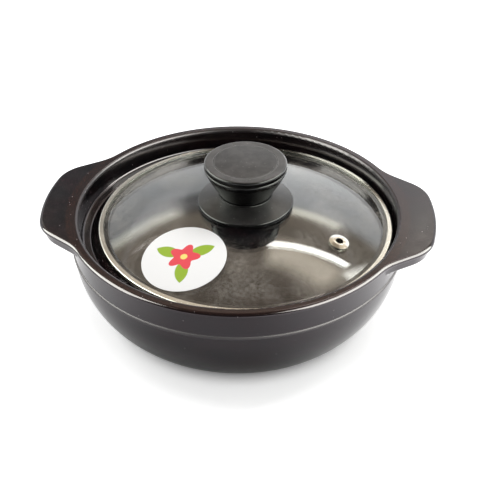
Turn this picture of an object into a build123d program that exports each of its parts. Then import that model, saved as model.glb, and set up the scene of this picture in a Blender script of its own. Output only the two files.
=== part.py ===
from build123d import *
import math
import os

# A shallow clay casserole with two flat lugs and a domed glass lid.
# Millimetres, +Z up. The origin is on the floor under the middle of the pot,
# and the lugs point along X. Outlines of turned pieces are drawn as
# (radius, height) and turned about Z.

os.makedirs("parts", exist_ok=True)

# Overall: the lid over its steel band, and the pot's rim above the floor
lid_r = 90.0
pot_height = 69.0
wall_thickness = 8.0

# Pot: lip, mouth and the ledge that the lid sits on
rim_width = 6.4
lip_height = 2.8
lip_overhang = 1.7
lip_top_round = 2.0
lip_under_round = 0.7
mouth_round = 1.8
mouth_taper = 1.4
recess_depth = 13.5
recess_gap = 5.4
recess_round = 1.6
ledge_width = 5.8
ledge_nose_round = 1.2
ledge_nose_depth = 4.0
ledge_undercut_drop = 4.5

# Pot: outer wall, which leans in a little, then turns in two arcs
shoulder_drop = 20.8
shoulder_inset = 2.2
wall_lean = 2.6
side_end_angle = 45.0
heel_arc_r = 23.0

# Pot: foot ring and the raised line round the wall
foot_height = 3.3
foot_width = 8.0
foot_inset = 1.88
foot_round = 1.2
bead_drop = 18.2
bead_r = 1.3
bead_proud = 0.6

# Pot: lug handles
lug_length = 16.7
lug_root_angle = 29.5
lug_side_angle = 34.0
lug_corner_r = 25.0
lug_root_round = 35.0
lug_web_depth = 7.4
lug_web_taper = 9.0
lug_web_round = 2.4
lug_wall_round = 3.0

# Lid: the least gap to the recess wall on the side it is pushed to, and the gap under it
lid_side_gap = 0.8
seat_gap = 0.3

# Glued, wrapped and pressed faces stand this far apart
close_fit = 0.05

# Lid glass
glass_thickness = 3.6
glass_edge_round = 1.2
glass_flat_width = 4.9
dome_rise = 14.05
sealant_width = 0.6

# Steel band round the glass
band_sheet = 0.5
band_top_width = 3.2
band_return_width = 3.6
band_corner_round = 1.1

# Steam vent
vent_inset = 20.5
vent_angle = -25.3
vent_bore_r = 2.3
vent_tube_wall = 0.9
vent_hole_gap = 0.2
vent_flange_width = 2.6
vent_flange_thickness = 0.5
vent_edge_round = 0.16
vent_crown_width = 1.3
vent_crown_height = 1.3
vent_roll_width = 1.4
vent_roll_thickness = 0.6
vent_washer_width = 2.4
vent_washer_thickness = 0.8

# Knob skirt
skirt_r = 29.0
skirt_edge_height = 2.4
skirt_edge_round = 1.1
skirt_glass_gap = 0.35
skirt_lip_width = 1.7
skirt_hollow_slope_width = 2.4
skirt_boss_width = 1.0
skirt_boss_rise = 1.0
skirt_height = 7.2
skirt_sheet = 2.6
skirt_collar_width = 0.8
skirt_collar_height = 0.5

# Knob grip and the disc let into its top
grip_neck_r = 15.7
grip_height = 21.4
grip_top_r = 24.6
grip_top_ring_height = 2.8
grip_top_round = 1.3
grip_groove_width = 0.7
grip_groove_depth = 0.7
grip_bead_r = 0.9
grip_bead_proud = 0.35
grip_side_shares = [(0.16, 0.17), (0.37, 0.44), (0.59, 0.72), (0.80, 0.92)]
cap_margin = 5.6
cap_thickness = 2.0
cap_crown = 0.5
cap_round = 0.5
cap_gap = 0.15
cap_proud = 0.15

# Knob fastening
screw_r = 2.45
screw_engagement = 9.0
screw_tip_chamfer = 0.6
screw_head_r = 4.8
screw_head_height = 3.0
screw_head_round = 1.2
screw_slot_width = 1.2
screw_slot_depth = 1.6
screw_slot_length = 6.4
thread_gap = 0.05
hole_gap = 0.5
glass_hole_gap = 1.55
insert_wall = 2.0
insert_length = 12.0
insert_groove_width = 2.0
insert_groove_depth = 0.7
washer_r = 10.5
washer_thickness = 1.2
washer_round = 0.4
gasket_overhang = 0.5
lower_gasket_thickness = 1.5
upper_gasket_r = 12.5

# Paper label on the glass, as far out as the dome reaches
label_r = 24.8
label_thickness = 0.15
label_edge_gap = 0.1
label_angle = -120.7

# Cuts run past the faces that they open by this much
cut_overrun = 5.0

# Radii that several pieces share, from the lid outwards and inwards
recess_floor_r = lid_r + recess_gap
mouth_r = recess_floor_r + mouth_taper
rim_outer_r = mouth_r + rim_width
ledge_inner_r = recess_floor_r - ledge_width
shoulder_r = rim_outer_r - shoulder_inset
lid_shift = recess_gap - lid_side_gap
glass_edge_r = lid_r - band_sheet - sealant_width
glass_flat_r = glass_edge_r - glass_flat_width
skirt_rim_r = skirt_r - skirt_lip_width
skirt_boss_r = upper_gasket_r + skirt_boss_width
lower_gasket_r = washer_r + gasket_overhang
hole_r = screw_r + hole_gap
glass_hole_r = screw_r + glass_hole_gap
insert_bore_r = screw_r + thread_gap
insert_r = insert_bore_r + insert_wall
cap_r = grip_top_r - cap_margin
vent_tube_r = vent_bore_r + vent_tube_wall
vent_hole_r = vent_tube_r + vent_hole_gap

# Heights that several pieces share
lip_bottom_z = pot_height - lip_height
shoulder_z = pot_height - shoulder_drop
ledge_z = pot_height - recess_depth
band_bottom_z = ledge_z + seat_gap
glass_rim_bottom_z = band_bottom_z + band_sheet + close_fit
glass_rim_top_z = glass_rim_bottom_z + glass_thickness
band_top_z = glass_rim_top_z + close_fit + band_sheet
apex_z = glass_rim_top_z + dome_rise
apex_under_z = apex_z - glass_thickness
dome_r = (glass_flat_r**2 + dome_rise**2) / (2 * dome_rise)
dome_under_r = dome_r - glass_thickness
dome_centre_z = apex_z - dome_r
boss_z = apex_z + skirt_boss_rise
skirt_bottom_z = dome_centre_z + math.sqrt(dome_r**2 - skirt_rim_r**2) + skirt_glass_gap
skirt_top_z = skirt_bottom_z + skirt_height
grip_top_z = skirt_top_z + grip_height
cap_floor_z = grip_top_z - cap_thickness + cap_proud
lower_gasket_z = apex_under_z - lower_gasket_thickness
washer_z = lower_gasket_z - washer_thickness

# The vent and the label on the dome, as distances from the lid's axis
vent_distance = glass_flat_r - vent_inset
label_lean = math.asin((glass_flat_r - label_edge_gap) / dome_r) - math.asin(label_r / dome_r)
label_distance = dome_r * math.sin(label_lean)

# Solids that stand on a height instead of being centred on it
STANDING = (Align.CENTER, Align.CENTER, Align.MIN)


def near(value, target):
    """Whether two lengths of the model are the same."""
    return abs(value - target) < close_fit


def on_circle(centre, radius, angle):
    """The point of a circle at an angle in degrees."""
    turn = math.radians(angle)
    return (centre[0] + radius * math.cos(turn), centre[1] + radius * math.sin(turn))


def arc(centre, radius, start, end):
    """An arc from one angle to another."""
    middle = (start + end) / 2
    ends = [on_circle(centre, radius, angle) for angle in (start, middle, end)]
    return ThreePointArc(*ends)


def turned(*edges):
    """The solid that a closed (radius, height) outline makes when turned about Z."""
    return revolve(Plane.XZ * make_face(Curve() + list(edges)), Axis.Z)


def turned_polygon(points, radii):
    """A turned solid from corner points, each corner rounded by its own radius."""
    return turned(FilletPolyline(*points, radius=radii, close=True))


def ring(inner_r, outer_r, low_z, high_z):
    """A flat ring between two radii and two heights."""
    points = [(inner_r, low_z), (outer_r, low_z), (outer_r, high_z), (inner_r, high_z)]
    return turned(Polyline(*points, close=True))


def dome_z(radius, sphere_r):
    """Height of one of the glass's two spheres at a distance from the lid's axis."""
    return dome_centre_z + math.sqrt(sphere_r**2 - radius**2)


def dome_arc(start_r, end_r, sphere_r, rise=0.0):
    """The curve of one of the glass's two spheres, lifted by a gap."""
    radii = (start_r, (start_r + end_r) / 2, end_r)
    return ThreePointArc(*[(r, dome_z(r, sphere_r) + rise) for r in radii])


def glass_frame(distance, angle):
    """A frame on the top of the glass whose Z axis stands square to it."""
    lean = math.asin(distance / dome_r)
    turn = math.radians(angle)
    out = Vector(math.cos(turn), math.sin(turn), 0)
    normal = out * math.sin(lean) + Vector(0, 0, 1) * math.cos(lean)
    origin = Vector(0, 0, dome_centre_z) + normal * dome_r
    along = out * math.cos(lean) - Vector(0, 0, 1) * math.sin(lean)
    return Plane(origin=origin, x_dir=along, z_dir=normal)


# The two arcs of the outer wall: the side arc ends where the heel arc starts,
# and the heel arc ends level on the underside, just outside the foot.
bowl_drop = shoulder_z - foot_height
end_sine = math.sin(math.radians(side_end_angle))
lean_sine = math.sin(math.radians(wall_lean))
side_arc_r = (bowl_drop - heel_arc_r * (1 - end_sine)) / (end_sine - lean_sine)
side_centre = on_circle((shoulder_r, shoulder_z), side_arc_r, 180 - wall_lean)
heel_centre = on_circle(side_centre, side_arc_r - heel_arc_r, -side_end_angle)
foot_outer_r = heel_centre[0] - foot_inset
foot_inner_r = foot_outer_r - foot_width


def wall_r(height):
    """Outer radius of the leaning wall above the shoulder."""
    return shoulder_r + (height - shoulder_z) * math.tan(math.radians(wall_lean))


def bowl_solid():
    """The outside of the bowl up to the underside of the lip, still solid."""
    shoulder = (shoulder_r, shoulder_z)
    wall_top = (wall_r(lip_bottom_z), lip_bottom_z)
    under = Line((0, foot_height), (heel_centre[0], foot_height))
    heel = arc(heel_centre, heel_arc_r, -90, -side_end_angle)
    side = arc(side_centre, side_arc_r, -side_end_angle, -wall_lean)
    wall = Line(shoulder, wall_top)
    top = Line(wall_top, (0, lip_bottom_z))
    middle = Line((0, lip_bottom_z), (0, foot_height))
    return turned(under, heel, side, wall, top, middle)


def foot_ring():
    """The low ring that the pot stands on."""
    top_z = foot_height + foot_round
    points = [(foot_inner_r, 0), (foot_outer_r, 0), (foot_outer_r, top_z), (foot_inner_r, top_z)]
    return turned_polygon(points, [foot_round, foot_round, 0, 0])


def wall_bead():
    """The fine raised line round the outside."""
    height = pot_height - bead_drop
    centre_r = wall_r(height) + bead_proud - bead_r
    return revolve(Plane.XZ * Pos(centre_r, height) * Circle(bead_r), Axis.Z)


def lug_outline():
    """Both lugs and the rim between them, seen from above."""
    reach = rim_outer_r + lug_length
    root = on_circle((0, 0), rim_outer_r, lug_root_angle)
    tip_x = root[0] + root[1] / math.tan(math.radians(lug_side_angle))
    kite = make_face(Polyline((0, 0), root, (tip_x, 0), (root[0], -root[1]), close=True))
    lug = kite & (Rot(0, 0, 90) * Circle(reach))
    plan = Circle(rim_outer_r) + lug + mirror(lug, Plane.YZ)
    tips = [v for v in plan.vertices() if near(math.hypot(v.X, v.Y), reach)]
    plan = fillet([v for v in tips if not near(v.Y, 0)], lug_corner_r)
    roots = [v for v in plan.vertices() if near(math.hypot(v.X, v.Y), rim_outer_r)]
    return fillet([v for v in roots if not near(v.Y, 0)], lug_root_round)


def lip_plate(plan):
    """The rolled lip, which runs on round the top of both lugs."""
    plate = extrude(Pos(0, 0, lip_bottom_z) * plan, lip_height)
    plate = fillet(plate.faces().sort_by(Axis.Z)[-1].edges(), lip_top_round)
    return fillet(plate.faces().sort_by(Axis.Z)[0].edges(), lip_under_round)


def lug_web(plan):
    """The thicker part under the lip, which tapers in towards the bowl."""
    inset = offset(plan, amount=-lip_overhang)
    start = Pos(0, 0, lip_bottom_z + lip_under_round) * inset
    depth = lug_web_depth + lip_under_round
    web = extrude(start, depth, dir=(0, 0, -1), taper=lug_web_taper)
    return fillet(web.faces().sort_by(Axis.Z)[0].edges(), lug_web_round)


def blend_lugs(body):
    """Round the corner where each lug's underside meets the wall."""
    low_z = lip_bottom_z - lug_web_depth
    circles = body.edges().filter_by(GeomType.CIRCLE)
    level = [edge for edge in circles if near(edge.arc_center.Z, low_z)]
    return fillet([edge for edge in level if near(edge.radius, wall_r(low_z))], lug_wall_round)


def pot_hollow():
    """The mouth, the recess with its ledge, and the inside of the bowl."""
    over_z = pot_height + cut_overrun
    inner_side_r = side_arc_r - wall_thickness
    inner_heel_r = heel_arc_r - wall_thickness
    nose_z = ledge_z - ledge_nose_depth
    start_sine = (side_centre[1] - nose_z + ledge_undercut_drop) / inner_side_r
    start_angle = -math.degrees(math.asin(start_sine))
    mouth_centre = (mouth_r + mouth_round, pot_height - mouth_round)
    floor_z = foot_height + wall_thickness
    step = [
        (mouth_r, mouth_centre[1]),
        (recess_floor_r, ledge_z),
        (ledge_inner_r, ledge_z),
        (ledge_inner_r, nose_z),
        on_circle(side_centre, inner_side_r, start_angle),
    ]
    return turned(
        Line((0, over_z), (mouth_centre[0], over_z)),
        Line((mouth_centre[0], over_z), (mouth_centre[0], pot_height)),
        arc(mouth_centre, mouth_round, 90, 180),
        FilletPolyline(*step, radius=[recess_round, ledge_nose_round, ledge_nose_round]),
        arc(side_centre, inner_side_r, start_angle, -side_end_angle),
        arc(heel_centre, inner_heel_r, -side_end_angle, -90),
        Line((heel_centre[0], floor_z), (0, floor_z)),
        Line((0, floor_z), (0, over_z)),
    )


def pot_body():
    """The whole fired piece: bowl, foot, raised line, lip and lugs, hollowed last."""
    plan = lug_outline()
    body = blend_lugs(bowl_solid() + foot_ring() + wall_bead() + lug_web(plan))
    return body + lip_plate(plan) - pot_hollow()


def lid_glass():
    """Domed glass with a flat edge for the band and two holes."""
    flat_start_r = math.sqrt(dome_under_r**2 - (glass_rim_bottom_z - dome_centre_z) ** 2)
    hole_low = (glass_hole_r, dome_z(glass_hole_r, dome_under_r))
    hole_high = (glass_hole_r, dome_z(glass_hole_r, dome_r))
    edge = [
        (glass_flat_r, glass_rim_top_z),
        (glass_edge_r, glass_rim_top_z),
        (glass_edge_r, glass_rim_bottom_z),
        (flat_start_r, glass_rim_bottom_z),
    ]
    glass = turned(
        dome_arc(glass_hole_r, glass_flat_r, dome_r),
        FilletPolyline(*edge, radius=[glass_edge_round, glass_edge_round]),
        dome_arc(flat_start_r, glass_hole_r, dome_under_r),
        Line(hole_low, hole_high),
    )
    depth = glass_thickness + 2 * cut_overrun
    vent_cut = Pos(0, 0, -glass_thickness / 2) * Cylinder(vent_hole_r, depth)
    return glass - glass_frame(vent_distance, vent_angle) * vent_cut


def rim_band():
    """Rolled steel channel round the edge of the glass."""
    under_top_z = glass_rim_top_z + close_fit
    over_bottom_z = glass_rim_bottom_z - close_fit
    inner_r = lid_r - band_sheet
    top_inner_r = lid_r - band_top_width
    return_inner_r = lid_r - band_return_width
    inside_round = band_corner_round - band_sheet
    corners = [
        ((top_inner_r, under_top_z), 0),
        ((inner_r, under_top_z), inside_round),
        ((inner_r, over_bottom_z), inside_round),
        ((return_inner_r, over_bottom_z), 0),
        ((return_inner_r, band_bottom_z), 0),
        ((lid_r, band_bottom_z), band_corner_round),
        ((lid_r, band_top_z), band_corner_round),
        ((top_inner_r, band_top_z), 0),
    ]
    return turned_polygon([point for point, _ in corners], [radius for _, radius in corners])


def rim_sealant():
    """Silicone bead between the edge of the glass and the band."""
    low_z = glass_rim_bottom_z + glass_edge_round
    high_z = glass_rim_top_z - glass_edge_round
    return ring(glass_edge_r + close_fit, lid_r - band_sheet - close_fit, low_z, high_z)


def vent_eyelet():
    """Steam eyelet: a crowned flange on the glass and a tube rolled over underneath."""
    roll_top_z = -glass_thickness - vent_washer_thickness - 3 * close_fit
    roll_bottom_z = roll_top_z - vent_roll_thickness
    roll_r = vent_tube_r + vent_roll_width
    flange_r = vent_hole_r + vent_flange_width
    crown_r = vent_bore_r + vent_crown_width
    corners = [
        ((vent_bore_r, roll_bottom_z), 0),
        ((roll_r, roll_bottom_z), vent_edge_round),
        ((roll_r, roll_top_z), 0),
        ((vent_tube_r, roll_top_z), 0),
        ((vent_tube_r, close_fit), 0),
        ((flange_r, close_fit), vent_edge_round),
        ((flange_r, vent_flange_thickness), vent_edge_round),
        ((crown_r, vent_crown_height), vent_edge_round),
        ((vent_bore_r, vent_crown_height), vent_edge_round),
    ]
    eyelet = turned_polygon([point for point, _ in corners], [radius for _, radius in corners])
    return glass_frame(vent_distance, vent_angle) * eyelet


def vent_washer():
    """Steel washer under the glass that the eyelet is rolled over."""
    high_z = -glass_thickness - 2 * close_fit
    low_z = high_z - vent_washer_thickness
    washer = ring(vent_hole_r, vent_hole_r + vent_washer_width, low_z, high_z)
    return glass_frame(vent_distance, vent_angle) * washer


def lid_sticker():
    """Round paper label that follows the curve of the glass."""
    radii = (0, label_r / 2, label_r)
    drops = [dome_r - math.sqrt(dome_r**2 - r**2) for r in radii]
    low = [(r, close_fit - drop) for r, drop in zip(radii, drops)]
    high = [(r, z + label_thickness) for r, z in low]
    label = turned(
        ThreePointArc(*low),
        Line(low[-1], high[-1]),
        ThreePointArc(*high),
        Line(high[0], low[0]),
    )
    return glass_frame(label_distance, label_angle) * label


def upper_gasket():
    """Silicone washer between the glass and the boss of the skirt."""
    start = dome_z(glass_hole_r, dome_r) + close_fit
    end = dome_z(upper_gasket_r, dome_r) + close_fit
    return turned(
        dome_arc(glass_hole_r, upper_gasket_r, dome_r, close_fit),
        Line((upper_gasket_r, end), (upper_gasket_r, boss_z)),
        Line((upper_gasket_r, boss_z), (glass_hole_r, boss_z)),
        Line((glass_hole_r, boss_z), (glass_hole_r, start)),
    )


def lower_gasket():
    """Silicone washer between the glass and the steel washer."""
    start = dome_z(hole_r, dome_under_r) - close_fit
    end = dome_z(lower_gasket_r, dome_under_r) - close_fit
    return turned(
        dome_arc(hole_r, lower_gasket_r, dome_under_r, -close_fit),
        Line((lower_gasket_r, end), (lower_gasket_r, lower_gasket_z)),
        Line((lower_gasket_r, lower_gasket_z), (hole_r, lower_gasket_z)),
        Line((hole_r, lower_gasket_z), (hole_r, start)),
    )


def knob_skirt():
    """Wide flange under the grip: a thin sloping shell round a flat boss."""
    edge_top_z = skirt_bottom_z + skirt_edge_height
    collar_r = grip_neck_r + skirt_collar_width
    collar_z = skirt_top_z - skirt_collar_height
    hollow_top_z = collar_z - skirt_sheet
    slope_start_r = skirt_rim_r - skirt_hollow_slope_width
    hollow_edge_z = edge_top_z + skirt_edge_round - skirt_edge_height / 2
    fine_round = skirt_collar_height / 2
    corners = [
        ((hole_r, boss_z), 0),
        ((skirt_boss_r, boss_z), 0),
        ((skirt_boss_r, hollow_top_z), fine_round),
        ((slope_start_r, hollow_edge_z), 0),
        ((skirt_rim_r, skirt_bottom_z), 0),
        ((skirt_r, skirt_bottom_z), fine_round),
        ((skirt_r, edge_top_z), skirt_edge_round),
        ((collar_r, collar_z), 0),
        ((collar_r, skirt_top_z), fine_round),
        ((hole_r, skirt_top_z), 0),
    ]
    return turned_polygon([point for point, _ in corners], [radius for _, radius in corners])


def grip_side(z_share, r_share):
    """A point of the grip's side, from the neck at 0 to the top ring at 1."""
    side_top_z = grip_top_z - grip_top_ring_height
    height = skirt_top_z + (side_top_z - skirt_top_z) * z_share
    radius = grip_neck_r + (grip_top_r - grip_bead_proud - grip_neck_r) * r_share
    return (radius, height)


def knob_grip():
    """Mushroom grip: a flared bowl, a fine bead and groove, and a flat top ring."""
    side_top_z = grip_top_z - grip_top_ring_height
    side_r = grip_top_r - grip_bead_proud
    neck = (grip_neck_r, skirt_top_z)
    side = Spline(neck, *[grip_side(*shares) for shares in grip_side_shares], (side_r, side_top_z))
    top = [
        (side_r, side_top_z),
        (grip_top_r, side_top_z),
        (grip_top_r, grip_top_z),
        (0, grip_top_z),
    ]
    body = turned(
        side,
        FilletPolyline(*top, radius=[0, grip_top_round]),
        Line((0, grip_top_z), (0, skirt_top_z)),
        Line((0, skirt_top_z), neck),
    )
    groove_z = side_top_z - grip_groove_width
    body -= ring(side_r - grip_groove_depth, side_r + cut_overrun, groove_z, side_top_z)
    bead_z = groove_z - grip_bead_r
    bead_centre_r = side_r + grip_bead_proud - grip_bead_r
    body += revolve(Plane.XZ * Pos(bead_centre_r, bead_z) * Circle(grip_bead_r), Axis.Z)
    body -= Pos(0, 0, cap_floor_z) * Cylinder(cap_r + cap_gap, cap_thickness, align=STANDING)
    hole_top_z = skirt_top_z + insert_length + close_fit
    body -= ring(0, insert_r + close_fit, skirt_top_z, hole_top_z)
    return body


def knob_cap():
    """Crowned disc let into the top of the grip."""
    edge_z = cap_floor_z + cap_thickness
    crown_z = edge_z + cap_crown
    crown_r = (cap_r**2 + cap_crown**2) / (2 * cap_crown)
    half_r = cap_r / 2
    half_z = crown_z - crown_r + math.sqrt(crown_r**2 - half_r**2)
    disc = turned(
        Line((0, cap_floor_z), (cap_r, cap_floor_z)),
        Line((cap_r, cap_floor_z), (cap_r, edge_z)),
        ThreePointArc((cap_r, edge_z), (half_r, half_z), (0, crown_z)),
        Line((0, crown_z), (0, cap_floor_z)),
    )
    return fillet(disc.faces().sort_by(Axis.Z)[-1].edges(), cap_round)


def knob_insert():
    """Brass thread moulded into the grip, with a groove that keeps it from pulling out."""
    insert = ring(insert_bore_r, insert_r, skirt_top_z, skirt_top_z + insert_length)
    low_z = skirt_top_z + (insert_length - insert_groove_width) / 2
    groove_r = insert_r - insert_groove_depth
    return insert - ring(groove_r, insert_r + cut_overrun, low_z, low_z + insert_groove_width)


def knob_screw():
    """Pan-head screw with a cross slot, from under the lid up into the brass thread."""
    head_z = washer_z - screw_head_height
    head_points = [(0, head_z), (screw_head_r, head_z), (screw_head_r, washer_z), (0, washer_z)]
    head = turned_polygon(head_points, [0, screw_head_round, 0, 0])
    shank_top_z = skirt_top_z + screw_engagement
    shank = Pos(0, 0, washer_z) * Cylinder(screw_r, shank_top_z - washer_z, align=STANDING)
    shank = chamfer(shank.faces().sort_by(Axis.Z)[-1].edges(), screw_tip_chamfer)
    screw = head + shank
    slot = Box(screw_slot_length, screw_slot_width, screw_slot_depth, align=STANDING)
    for turn in (0, 90):
        screw -= Pos(0, 0, head_z) * Rot(0, 0, turn) * slot
    return screw


def screw_washer():
    """Steel washer between the screw's head and the lower gasket."""
    washer = ring(hole_r, washer_r, washer_z, lower_gasket_z)
    return fillet(washer.faces().sort_by(Axis.Z)[0].outer_wire().edges(), washer_round)


LID_PIECES = [
    lid_glass,
    rim_band,
    rim_sealant,
    vent_eyelet,
    vent_washer,
    lid_sticker,
    upper_gasket,
    lower_gasket,
    knob_skirt,
    knob_grip,
    knob_cap,
    knob_insert,
    knob_screw,
    screw_washer,
]

export_step(pot_body(), "parts/pot_body.step")
for make in LID_PIECES:
    export_step(Pos(lid_shift, 0, 0) * make(), "parts/" + make.__name__ + ".step")
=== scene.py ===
import math

import bpy
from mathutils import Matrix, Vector


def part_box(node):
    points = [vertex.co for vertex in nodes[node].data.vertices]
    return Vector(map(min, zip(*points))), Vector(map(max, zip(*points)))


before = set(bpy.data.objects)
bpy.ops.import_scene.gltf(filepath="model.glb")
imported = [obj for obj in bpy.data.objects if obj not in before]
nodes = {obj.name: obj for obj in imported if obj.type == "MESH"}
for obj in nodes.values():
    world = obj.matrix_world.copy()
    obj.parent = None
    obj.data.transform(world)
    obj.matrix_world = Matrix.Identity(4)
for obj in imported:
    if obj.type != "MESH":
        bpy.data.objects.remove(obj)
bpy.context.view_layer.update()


# The pot: one piece of coarse fired clay with a brown-black satin glaze over all of it but the
# foot, which is wiped bare before firing. Bowl, lip, ledge and both lugs are thrown and pressed
# as one, so one material covers them.
glaze_plum = (0.0068, 0.0036, 0.0042)
glaze_slate = (0.0034, 0.0032, 0.0038)
glaze_rust = (0.0130, 0.0048, 0.0030)
glaze_thin = (0.032, 0.030, 0.031)
glaze_sheen_tint = (1.0, 0.90, 0.97)
glaze_shine = 0.40
glaze_roughness = (0.11, 0.16)
# each noise: scale per metre, detail and, where it isn't the usual one, roughness
plum_noise = (70, 5)
plum_range = (0.36, 0.66)
rust_noise = (30, 4)
rust_range = (0.54, 0.78)
rust_share = 0.5
satin_noise = (120, 4)
satin_range = (0.3, 0.7)
ripple_noise = (110, 2)
ripple_strength = 0.012
ripple_height = 0.0003
# all specks: scale per metre, radius as a share of a cell, share of the cells with a speck
clay_specks = (300, 0.105, 0.30)
clay_speck_color = (0.30, 0.27, 0.27)
speck_core_share = 0.4
lip_rust_share = 0.7
lip_rust_depth = 0.0022
lip_inner_r = (0.0970, 0.1005)
lip_outer_r = (0.1050, 0.1034)
mouth_r = (0.0980, 0.0992)
mouth_depth = (0.0034, 0.0018)
mouth_roughness = 0.34
line_drop = 0.0179
line_half_width = 0.0018
line_core_share = 0.4
line_r = (0.0985, 0.099485)
line_thin_share = 0.8
line_roughness = 0.52
bare_height = (0.0011, 0.00077)
bare_clay = (0.300, 0.190, 0.125)
bare_clay_dark = (0.20, 0.12, 0.08)
bare_noise = (900, 4)
bare_roughness = 0.85


def material(name, color, roughness):
    """A material with one Principled shader, and that shader."""
    made = bpy.data.materials.new(name)
    made.use_nodes = True
    shader = made.node_tree.nodes["Principled BSDF"]
    shader.inputs["Base Color"].default_value = (*color, 1)
    shader.inputs["Roughness"].default_value = roughness
    return made, shader


def add(made, kind, sockets=None, **settings):
    """Adds a node to a material or world, and gives its sockets values or links."""
    placed = made.node_tree.nodes.new("ShaderNode" + kind)
    for key, value in settings.items():
        setattr(placed, key, value)
    for key, value in (sockets or {}).items():
        if isinstance(value, bpy.types.NodeSocket):
            made.node_tree.links.new(value, placed.inputs[key])
        else:
            placed.inputs[key].default_value = value
    return placed


def link(made, output, shader, socket):
    """Joins an output to a named socket of a shader."""
    made.node_tree.links.new(output, shader.inputs[socket])


def place_on(made):
    """The place of a point on the piece, in metres."""
    return add(made, "TexCoord").outputs["Object"]


def from_axis(made, place, middle=(0, 0, 0)):
    """How far a point lies from an upright axis, on the level."""
    flat = add(made, "VectorMath", {0: place, 1: (1, 1, 0)}, operation="MULTIPLY").outputs[0]
    return add(made, "VectorMath", {0: flat, 1: middle}, operation="DISTANCE").outputs["Value"]


def noise(made, place, scale, detail, roughness=0.5):
    """A noise pattern, from 0 to 1."""
    sockets = {"Vector": place, "Scale": scale, "Detail": detail, "Roughness": roughness}
    return add(made, "TexNoise", sockets).outputs["Fac"]


def ramp(made, value, low, high, start=0.0, end=1.0):
    """A value taken smoothly from one range to another."""
    sockets = {"Value": value, "From Min": low, "From Max": high, "To Min": start, "To Max": end}
    return add(made, "MapRange", sockets, interpolation_type="SMOOTHSTEP").outputs["Result"]


def mix(made, share, first, second):
    """Two colours mixed; each may be a colour or a socket."""
    placed = add(made, "Mix", {0: share}, data_type="RGBA")
    for index, value in ((6, first), (7, second)):
        if isinstance(value, bpy.types.NodeSocket):
            made.node_tree.links.new(value, placed.inputs[index])
        else:
            placed.inputs[index].default_value = (*value, 1)
    return placed.outputs[2]


def math_node(made, operation, first, second=0.0):
    """One step of arithmetic on one or two values."""
    return add(made, "Math", {0: first, 1: second}, operation=operation).outputs[0]


def times(made, first, second):
    """The product of two values."""
    return math_node(made, "MULTIPLY", first, second)


def larger(made, first, second):
    """The larger of two values."""
    return math_node(made, "MAXIMUM", first, second)


def specks(made, place, scale, size, share):
    """Small round specks in a share of the cells of a Voronoi pattern, from 0 to 1."""
    cells = add(made, "TexVoronoi", {"Vector": place, "Scale": scale})
    round_mask = ramp(made, cells.outputs["Distance"], size, size * speck_core_share)
    pick = add(made, "SeparateColor", {"Color": cells.outputs["Color"]}).outputs["Red"]
    return times(made, round_mask, math_node(made, "LESS_THAN", pick, share))


def bump(made, shader, height, strength, distance):
    """Gives a shader a fine relief."""
    sockets = {"Height": height, "Strength": strength, "Distance": distance}
    link(made, add(made, "Bump", sockets).outputs["Normal"], shader, "Normal")


def dress(name, made):
    """Gives a CAD node a material."""
    slots = nodes[name].data.materials
    slots.clear()
    slots.append(made)


glaze, shader = material("clay_glaze", glaze_plum, glaze_roughness[0])
shader.inputs["Specular IOR Level"].default_value = glaze_shine
shader.inputs["Specular Tint"].default_value = (*glaze_sheen_tint, 1)
place = place_on(glaze)
height = add(glaze, "SeparateXYZ", {"Vector": place}).outputs["Z"]
outward = from_axis(glaze, place)
rim_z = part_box("pot_body")[1].z

plum = ramp(glaze, noise(glaze, place, *plum_noise), *plum_range)
color = mix(glaze, plum, glaze_slate, glaze_plum)
rust = ramp(glaze, noise(glaze, place, *rust_noise), *rust_range, 0.0, rust_share)
lip = times(glaze, ramp(glaze, outward, *lip_inner_r), ramp(glaze, outward, *lip_outer_r))
lip = times(glaze, ramp(glaze, height, rim_z - lip_rust_depth, rim_z), lip)
rust = larger(glaze, rust, times(glaze, lip, lip_rust_share))
color = mix(glaze, rust, color, glaze_rust)
color = mix(glaze, specks(glaze, place, *clay_specks), color, clay_speck_color)

off_line = math_node(glaze, "SUBTRACT", height, rim_z - line_drop)
off_line = math_node(glaze, "ABSOLUTE", off_line)
on_line = ramp(glaze, off_line, line_half_width, line_half_width * line_core_share)
on_line = times(glaze, on_line, ramp(glaze, outward, *line_r))
color = mix(glaze, times(glaze, on_line, line_thin_share), color, glaze_thin)

bare = ramp(glaze, height, *bare_height)
clay = mix(glaze, noise(glaze, place, *bare_noise), bare_clay, bare_clay_dark)
link(glaze, mix(glaze, bare, color, clay), shader, "Base Color")

satin = ramp(glaze, noise(glaze, place, *satin_noise), *satin_range, *glaze_roughness)
satin = larger(glaze, satin, times(glaze, bare, bare_roughness))
mouth_low, mouth_high = (rim_z - depth for depth in mouth_depth)
mouth = ramp(glaze, height, mouth_low, mouth_high, 0.0, mouth_roughness)
mouth = times(glaze, mouth, ramp(glaze, outward, *mouth_r, 1.0, 0.0))
satin = larger(glaze, satin, mouth)
satin = larger(glaze, satin, times(glaze, on_line, line_roughness))
link(glaze, satin, shader, "Roughness")
bump(glaze, shader, noise(glaze, place, *ripple_noise), ripple_strength, ripple_height)
dress("pot_body", glaze)


# The lid glass: tempered soda-lime glass pressed to a shallow dome. It is clear, a little green
# through its edge, and has a film of dust from the shop, wiped off round the knob.
glass_tint = (0.93, 0.95, 0.94)
glass_tint_deep = (0.90, 0.925, 0.91)
glass_ior = 1.5
dust_color = (0.72, 0.66, 0.58)
film_noise = (45, 5, 0.6)
film_range = (0.38, 0.64)
film_share = (0.001, 0.054)
grain_noise = (420, 4, 0.7)
grain_range = (0.36, 0.64)
grain_factor = (0.08, 2.25)
wiped_r = (0.034, 0.044)
crumb_specks = (430, 0.09, 0.16)
crumb_share = 0.40

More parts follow.
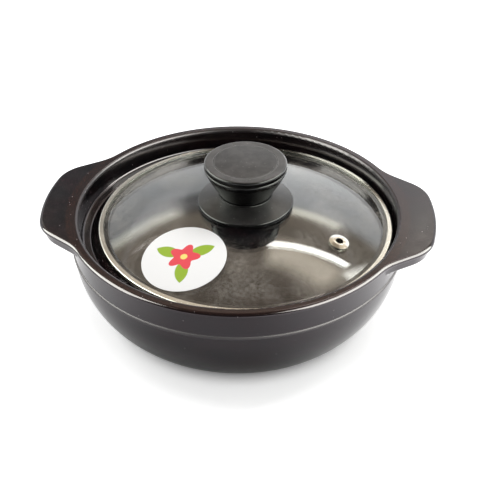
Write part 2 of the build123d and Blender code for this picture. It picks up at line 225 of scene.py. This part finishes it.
glass, shader = material("tempered_glass", glass_tint, 0.0)
shader.inputs["Transmission Weight"].default_value = 1
shader.inputs["IOR"].default_value = glass_ior
place = place_on(glass)
cloud = noise(glass, place, *film_noise)
link(glass, mix(glass, cloud, glass_tint, glass_tint_deep), shader, "Base Color")

film = ramp(glass, cloud, *film_range, *film_share)
grain = ramp(glass, noise(glass, place, *grain_noise), *grain_range, *grain_factor)
film = times(glass, film, grain)
knob_low, knob_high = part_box("knob_skirt")
knob_spot = ((knob_low.x + knob_high.x) / 2, (knob_low.y + knob_high.y) / 2, 0)
film = times(glass, film, ramp(glass, from_axis(glass, place, knob_spot), *wiped_r))
film = larger(glass, film, times(glass, specks(glass, place, *crumb_specks), crumb_share))
dust = add(glass, "BsdfDiffuse", {"Color": (*dust_color, 1)})
dusty = add(glass, "MixShader", {0: film, 1: shader.outputs[0], 2: dust.outputs[0]})

path = add(glass, "LightPath").outputs
lit_through = larger(glass, path["Is Shadow Ray"], path["Is Diffuse Ray"])
clear = add(glass, "BsdfTransparent", {"Color": (*glass_tint, 1)})
both = add(glass, "MixShader", {0: lit_through, 1: dusty.outputs[0], 2: clear.outputs[0]})
link(glass, both.outputs[0], glass.node_tree.nodes["Material Output"], "Surface")
dress("lid_glass", glass)


# The band: a strip of stainless steel rolled into a channel round the edge of the glass and
# polished, with a bead of grey silicone between. The knob's gaskets are cut from the same
# silicone.
steel_colors = ((0.63, 0.62, 0.58), (0.56, 0.55, 0.51))
steel_noise = (40, 3)
steel_roughness = (0.18, 0.24)
steel_polish_noise = (90, 3)
polish_range = (0.3, 0.7)
silicone_colors = ((0.46, 0.47, 0.44), (0.36, 0.37, 0.35))
silicone_noise = (200, 3)
silicone_roughness = 0.5


def metal(name, colors, color_noise, roughness, polish_noise):
    """A metal that is paler in some places than in others, and better polished."""
    made, shader = material(name, colors[0], roughness[0])
    shader.inputs["Metallic"].default_value = 1
    place = place_on(made)
    polish = ramp(made, noise(made, place, *polish_noise), *polish_range, *roughness)
    link(made, polish, shader, "Roughness")
    link(made, mix(made, noise(made, place, *color_noise), *colors), shader, "Base Color")
    return made


steel = metal("band_steel", steel_colors, steel_noise, steel_roughness, steel_polish_noise)
dress("rim_band", steel)

silicone, shader = material("silicone", silicone_colors[0], silicone_roughness)
cloud = noise(silicone, place_on(silicone), *silicone_noise)
link(silicone, mix(silicone, cloud, *silicone_colors), shader, "Base Color")
for name in ("rim_sealant", "upper_gasket", "lower_gasket"):
    dress(name, silicone)


# The steam vent: a stainless eyelet pushed through the glass from above and rolled over a
# washer underneath. Both are bright from the press.
vent_colors = ((0.70, 0.69, 0.64), (0.60, 0.59, 0.54))
vent_noise = (500, 3)
vent_roughness = (0.10, 0.26)
vent_polish_noise = (900, 3)

bright = metal("vent_steel", vent_colors, vent_noise, vent_roughness, vent_polish_noise)
dress("vent_eyelet", bright)
dress("vent_washer", bright)


# The knob: grip, cap and skirt are compression moulded in black phenolic resin, satin from the
# mould, with a little dust and fine scuffs on the faces that are handled. The cap is pressed
# into the top of the grip, and a fine pale ring is drawn round its edge.
resin_color = (0.0040, 0.0039, 0.0041)
resin_dust = (0.062, 0.058, 0.056)
resin_shine = 0.32
resin_roughness = (0.13, 0.17)
resin_noise = (180, 4)
level_facing = (0.55, 0.98)
level_roughness = 0.17
scuff_noise = (90, 6, 0.7)
scuff_range = (0.30, 0.72)
scuff_share = (0.35, 1.0)
handled_drop = (0.020, 0.006)
handled_share = (0.52, 1.0)
ring_half_width = 0.0006
ring_core_share = 0.3
ring_drop = (0.003, 0.002)
ring_share = 0.4
lint_specks = (560, 0.17, 0.16)
lint_level = (0.0, 0.5)
lint_share = (0.15, 0.75)
lint_and_ring_color = (0.26, 0.25, 0.24)
pore_noise = (1500, 3)
pore_strength = 0.08
pore_depth = 0.0002

resin, shader = material("black_resin", resin_color, resin_roughness[0])
shader.inputs["Specular IOR Level"].default_value = resin_shine
place = place_on(resin)
tall = add(resin, "SeparateXYZ", {"Vector": place}).outputs["Z"]
normal = add(resin, "NewGeometry").outputs["Normal"]
level = ramp(resin, add(resin, "SeparateXYZ", {"Vector": normal}).outputs["Z"], *level_facing)
cap_low, cap_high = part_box("knob_cap")
cap_middle = ((cap_low.x + cap_high.x) / 2, (cap_low.y + cap_high.y) / 2, 0)

scuff = ramp(resin, noise(resin, place, *scuff_noise), *scuff_range, *scuff_share)
handled_low, handled_high = (cap_high.z - drop for drop in handled_drop)
handled = times(resin, ramp(resin, tall, handled_low, handled_high, *handled_share), level)
color = mix(resin, times(resin, scuff, handled), resin_color, resin_dust)

# a fine pale ring round the edge of the cap
off_ring = from_axis(resin, place, cap_middle)
off_ring = math_node(resin, "SUBTRACT", off_ring, (cap_high.x - cap_low.x) / 2)
off_ring = math_node(resin, "ABSOLUTE", off_ring)
ring = ramp(resin, off_ring, ring_half_width, ring_half_width * ring_core_share)
ring_low, ring_high = (cap_high.z - drop for drop in ring_drop)
ring = times(resin, ring, ramp(resin, tall, ring_low, ring_high))
color = mix(resin, times(resin, ring, ring_share), color, lint_and_ring_color)

lint = specks(resin, place, *lint_specks)
lint = times(resin, lint, ramp(resin, level, *lint_level, *lint_share))
link(resin, mix(resin, lint, color, lint_and_ring_color), shader, "Base Color")
satin = ramp(resin, noise(resin, place, *resin_noise), *satin_range, *resin_roughness)
satin = math_node(resin, "ADD", satin, times(resin, level, level_roughness))
link(resin, satin, shader, "Roughness")
bump(resin, shader, noise(resin, place, *pore_noise), pore_strength, pore_depth)
for name in ("knob_grip", "knob_cap", "knob_skirt"):
    dress(name, resin)


# The knob's fastening: a zinc-plated screw and washer from under the glass, into a turned brass
# thread moulded into the grip.
plate_colors = ((0.64, 0.64, 0.62), (0.50, 0.50, 0.48))
plate_noise = (260, 4)
plate_roughness = (0.26, 0.44)
plate_polish_noise = (700, 4)
brass_colors = ((0.74, 0.57, 0.27), (0.58, 0.43, 0.19))
brass_noise = (500, 3)
brass_roughness = 0.3

plate = metal("screw_steel", plate_colors, plate_noise, plate_roughness, plate_polish_noise)
dress("knob_screw", plate)
dress("screw_washer", plate)

brass, shader = material("insert_brass", brass_colors[0], brass_roughness)
shader.inputs["Metallic"].default_value = 1
cloud = noise(brass, place_on(brass), *brass_noise)
link(brass, mix(brass, cloud, *brass_colors), shader, "Base Color")
dress("knob_insert", brass)


# The label: a round gloss-coated paper sticker on the glass, printed with a red blossom and
# green leaves.
label_low, label_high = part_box("lid_sticker")
label_centre = (label_low + label_high) / 2
paper_white = (0.93, 0.93, 0.92)
paper_roughness = 0.28
gloss_coat = 0.4
gloss_roughness = 0.08
print_red = (0.82, 0.055, 0.085)
print_green = (0.30, 0.47, 0.02)
print_yellow = (0.95, 0.78, 0.20)
print_edge = 0.00025
blossom_r = 0.0078
blossom_eye_r = 0.002028
petal_depth_share = 0.24
petals = 5
leaf_angles = (25, 155, 270)
leaf_r = 0.0105
leaf_reach = 0.0105
leaf_half_width = 0.0038

paper, shader = material("label_paper", paper_white, paper_roughness)
shader.inputs["Coat Weight"].default_value = gloss_coat
shader.inputs["Coat Roughness"].default_value = gloss_roughness
flat = add(paper, "Mapping", {"Vector": place_on(paper), "Location": -label_centre})
spot = add(paper, "SeparateXYZ", {"Vector": flat.outputs[0]})
across, along = spot.outputs["X"], spot.outputs["Y"]


def reach(x, y):
    """The straight distance that two gaps, across and along the label, make up."""
    corner = add(paper, "CombineXYZ", {"X": x, "Y": y}).outputs[0]
    return add(paper, "VectorMath", {0: corner}, operation="LENGTH").outputs["Value"]


def printed(far, radius):
    """A printed shape, from 0 to 1, where a distance is less than a radius."""
    return ramp(paper, far, radius + print_edge, radius - print_edge)


def disc(x, y, radius):
    """A printed disc, from 0 to 1, at a place on the label."""
    x_gap = math_node(paper, "SUBTRACT", across, x)
    y_gap = math_node(paper, "SUBTRACT", along, y)
    return printed(reach(x_gap, y_gap), radius)


def leaf(angle):
    """A leaf that points outwards: the overlap of two discs side by side."""
    turn = math.radians(angle)
    out = Vector((math.cos(turn), math.sin(turn)))
    side = Vector((-out.y, out.x))
    halves = [out * leaf_reach + side * way * (leaf_r - leaf_half_width) for way in (1, -1)]
    return math_node(paper, "MINIMUM", *[disc(half.x, half.y, leaf_r) for half in halves])


color = paper_white
for angle in leaf_angles:
    color = mix(paper, leaf(angle), color, print_green)
turn = math_node(paper, "ARCTAN2", along, across)
wave = math_node(paper, "COSINE", times(paper, turn, petals))
wave = times(paper, wave, blossom_r * petal_depth_share)
blossom = math_node(paper, "SUBTRACT", reach(across, along), wave)
color = mix(paper, printed(blossom, blossom_r), color, print_red)
color = mix(paper, disc(0, 0, blossom_eye_r), color, print_yellow)
link(paper, color, shader, "Base Color")
dress("lid_sticker", paper)


# The floor: a plain white sweep. The camera and the glass see it lifted to white by a glow that
# fades out towards the pot, which paints a pool of shade round it on top of its real shadow. The
# glaze and the steel see a painted reflection of it: a glow that is less near the pot and more
# at the sides.
floor_size = 6.0
floor_white = (0.90, 0.90, 0.90)
floor_roughness = 0.9
# painted shade: the glow fades out inside these radii, which darkens the floor round the pot
shade_r = (0.068, 0.087)
shade_lift = (0.0, 0.57)
beyond_r = (0.093, 0.120)
beyond_lift = (0.0, 0.23)
# painted reflection: mirrors see the floor darker near the pot and brighter at the sides
mirror_r = (0.07, 0.34)
mirror_lift = (0.0, 0.95)
mirror_right_x = (0.02, 0.22)
mirror_right_lift = (0.0, 2.1)
mirror_left_x = (-0.05, -0.14)
mirror_left_lift = (0.0, 0.62)

bpy.ops.object.select_all(action="DESELECT")
bpy.ops.mesh.primitive_plane_add(size=floor_size)
floor = bpy.context.object
floor.name = "floor"
white, shader = material("white_floor", floor_white, floor_roughness)
shader.inputs["Specular IOR Level"].default_value = 0
shader.inputs["Emission Color"].default_value = (1, 1, 1, 1)
place = place_on(white)
away = add(white, "VectorMath", {0: place}, operation="LENGTH").outputs["Value"]
across = add(white, "SeparateXYZ", {"Vector": place}).outputs["X"]
path = add(white, "LightPath").outputs

# painted shade round the pot: the glow that the camera and the glass see fades out near it
lift = ramp(white, away, *shade_r, *shade_lift)
lift = math_node(white, "ADD", lift, ramp(white, away, *beyond_r, *beyond_lift))
seen = larger(white, path["Is Camera Ray"], path["Is Transmission Ray"])
seen = times(white, seen, lift)
# painted reflection: the glow that only glaze and steel see
lift = ramp(white, away, *mirror_r, *mirror_lift)
lift = math_node(white, "ADD", lift, ramp(white, across, *mirror_right_x, *mirror_right_lift))
lift = math_node(white, "ADD", lift, ramp(white, across, *mirror_left_x, *mirror_left_lift))
mirrored = times(white, path["Is Glossy Ray"], lift)
link(white, larger(white, seen, mirrored), shader, "Emission Strength")
floor.data.materials.append(white)


# The room: a white studio, which glaze, glass and steel mirror. It has pale walls under a warm
# ceiling that is darker overhead, bright patches and a long tube, and a dark camera side. What
# is matt gets an even fill from it.
wall_left_color = (1.08, 1.10, 1.12)
wall_right_color = (1.80, 1.82, 1.84)
ceiling_color = (0.94, 0.80, 0.64)
overhead_color = (0.36, 0.29, 0.22)
front_color = (0.14, 0.135, 0.13)
fill_strength = 0.52
# all angles are in degrees, and azimuths count from the back
wall_turn = (-12, 4)
ceiling_edge = (31, 37)
overhead_edge = (61, 70)
front_edge = (118, 145)
door_azimuth = (-21, -10)
door_elevation = (26, 37)
door_softness = 3
door_share = 0.72
patches = [
    # azimuth, elevation, softness of the edge, and colour
    ((66, 134), (16, 45), 5, (2.0, 2.0, 1.9)),
    ((-120, -74), (16, 42), 5, (2.0, 2.0, 1.9)),
    ((-42, -22), (31.5, 35.5), 2.2, (2.0, 2.0, 1.7)),
    ((6, 20), (33.5, 37.0), 1.5, (2.8, 2.8, 2.4)),
    ((5, 36), (50.5, 60), 4, (3.6, 3.2, 2.6)),
    ((35, 42), (41, 51), 1.5, (7.0, 7.0, 6.6)),
]
tube_azimuth = (3.5, 33.2)
tube_elevation = (52.8, 47.6)
tube_half_width = 1.2
tube_softness = 0.4
tube_end_softness = 0.8
tube_color = (16, 16, 15.5)

room = bpy.data.worlds.new("room")
bpy.context.scene.world = room
room.use_nodes = True
room.cycles.sampling_method = "NONE"
way = add(room, "SeparateXYZ", {"Vector": add(room, "TexCoord").outputs["Generated"]}).outputs
azimuth = math_node(room, "DEGREES", math_node(room, "ARCTAN2", way["X"], way["Y"]))
elevation = math_node(room, "DEGREES", math_node(room, "ARCSINE", way["Z"]))


def strip(value, limits, soft):
    """A share that is 1 between two limits, and fades out past them."""
    rise = ramp(room, value, limits[0] - soft, limits[0] + soft)
    fall = ramp(room, value, limits[1] + soft, limits[1] - soft)
    return times(room, rise, fall)


def pane(sides, heights, soft):
    """A share that is 1 between two azimuths and two elevations, and fades out past them."""
    return times(room, strip(azimuth, sides, soft), strip(elevation, heights, soft))


def shine(color, share, more):
    """A room colour with a bright patch added."""
    patch = add(room, "VectorMath", {0: more, "Scale": share}, operation="SCALE").outputs[0]
    return add(room, "VectorMath", {0: color, 1: patch}, operation="ADD").outputs[0]


color = mix(room, ramp(room, azimuth, *wall_turn), wall_left_color, wall_right_color)
color = mix(room, ramp(room, elevation, *ceiling_edge), color, ceiling_color)
color = mix(room, ramp(room, elevation, *overhead_edge), color, overhead_color)
aside = math_node(room, "ABSOLUTE", azimuth)
color = mix(room, ramp(room, aside, *front_edge), color, front_color)
door = times(room, pane(door_azimuth, door_elevation, door_softness), door_share)
color = mix(room, door, color, (0, 0, 0))
for sides, heights, soft, more in patches:
    color = shine(color, pane(sides, heights, soft), more)

slope = (tube_elevation[1] - tube_elevation[0]) / (tube_azimuth[1] - tube_azimuth[0])
along = math_node(room, "SUBTRACT", azimuth, tube_azimuth[0])
line = math_node(room, "SUBTRACT", elevation, times(room, along, slope))
near = (tube_elevation[0] - tube_half_width, tube_elevation[0] + tube_half_width)
tube = strip(line, near, tube_softness)
tube = times(room, tube, strip(azimuth, tube_azimuth, tube_end_softness))
color = shine(color, tube, tube_color)

path = add(room, "LightPath").outputs
color = mix(room, path["Is Diffuse Ray"], color, (fill_strength,) * 3)
color = mix(room, path["Is Camera Ray"], color, (1, 1, 1))
link(room, color, room.node_tree.nodes["Background"], "Color")


# The lamps: two soft lamps above, which leave no reflection, and wide soft boxes at both sides.
# The boxes are set so that each pair shows only in the glaze, in the band or in the knob.
pot_middle = Vector((0, 0, 0.05))
high_distance = 1.5
high_size = 0.7
high_lamps = {
    # azimuth from the back and elevation in degrees, and power in watts
    "high_right": (55, 58, 11.0),
    "high_left": (-70, 58, 6.5),
}
box_distance = 2.5
box_color = (0.93, 1.0, 0.88)
side_boxes = {
    # azimuths, elevations, glow and the CAD nodes that mirror the box
    "box_right": ((66, 134), (9, 57), 22.0, ["pot_body"]),
    "box_left": ((-120, -74), (9, 56), 22.0, ["pot_body"]),
    "band_box_right": ((60, 134), (16, 60), 3.5, ["rim_band"]),
    "band_box_left": ((-120, -60), (16, 60), 3.5, ["rim_band"]),
    "knob_box_right": ((60, 134), (16, 50), 8.5, ["knob_grip", "knob_skirt"]),
    "knob_box_left": ((-134, -60), (16, 50), 8.5, ["knob_grip", "knob_skirt"]),
}


def lamp(name, azimuth, elevation, power, distance, width):
    """A square lamp that faces the pot, without a reflection."""
    turn, lift = math.radians(azimuth), math.radians(elevation)
    level = math.cos(lift)
    toward = Vector((math.sin(turn) * level, math.cos(turn) * level, math.sin(lift)))
    light = bpy.data.lights.new(name, "AREA")
    light.size = width
    light.energy = power
    holder = bpy.data.objects.new(name, light)
    holder.location = pot_middle + toward * distance
    holder.rotation_euler = toward.to_track_quat("Z", "Y").to_euler()
    holder.visible_glossy = False
    holder.visible_transmission = False
    bpy.context.scene.collection.objects.link(holder)
    return holder


def span(angles):
    """How wide a soft box is that reaches from one angle to another."""
    return 2 * box_distance * math.tan(math.radians((angles[1] - angles[0]) / 2))


def soft_box(name, sides, heights, glow, mirrors):
    """A wide lamp that only shows in some CAD nodes."""
    width, height = span(sides), span(heights)
    power = glow * math.pi * width * height
    holder = lamp(name, sum(sides) / 2, sum(heights) / 2, power, box_distance, width)
    holder.data.shape = "RECTANGLE"
    holder.data.size_y = height
    holder.data.color = box_color
    holder.visible_glossy = True
    holder.visible_diffuse = False
    holder.visible_camera = False
    lit = bpy.data.collections.new(name)
    for node in mirrors:
        lit.objects.link(nodes[node])
    holder.light_linking.receiver_collection = lit


for name, values in high_lamps.items():
    lamp(name, *values, high_distance, high_size)
for name, values in side_boxes.items():
    soft_box(name, *values)


# The camera: a 75 mm lens, 0.61 m from the middle of the rim, looking down 33 degrees, with the
# pot turned so that its right lug is the nearer one.
lens = 75.0
sensor_width = 36
near_clip = 0.01
camera_distance = 0.6097
camera_elevation = math.radians(33.404)
camera_turn = math.radians(5.7)
aim_right, aim_up = 0.002, -0.033
rim_middle = Vector((0, 0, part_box("pot_body")[1].z))

camera = bpy.data.cameras.new("camera")
camera.lens = lens
camera.sensor_width = sensor_width
camera.clip_start = near_clip
holder = bpy.data.objects.new("camera", camera)
bpy.context.scene.collection.objects.link(holder)
level = math.cos(camera_elevation)
back_way = Vector((
    math.sin(camera_turn) * level,
    -math.cos(camera_turn) * level,
    math.sin(camera_elevation),
))
holder.location = rim_middle + back_way * camera_distance
right = Vector((math.cos(camera_turn), math.sin(camera_turn), 0))
up = right.cross(-back_way)
holder.rotation_mode = "QUATERNION"
aim = -back_way + right * aim_right + up * aim_up
holder.rotation_quaternion = aim.to_track_quat("-Z", "Y")
bpy.context.scene.camera = holder
bpy.context.scene.view_settings.view_transform = "Standard"
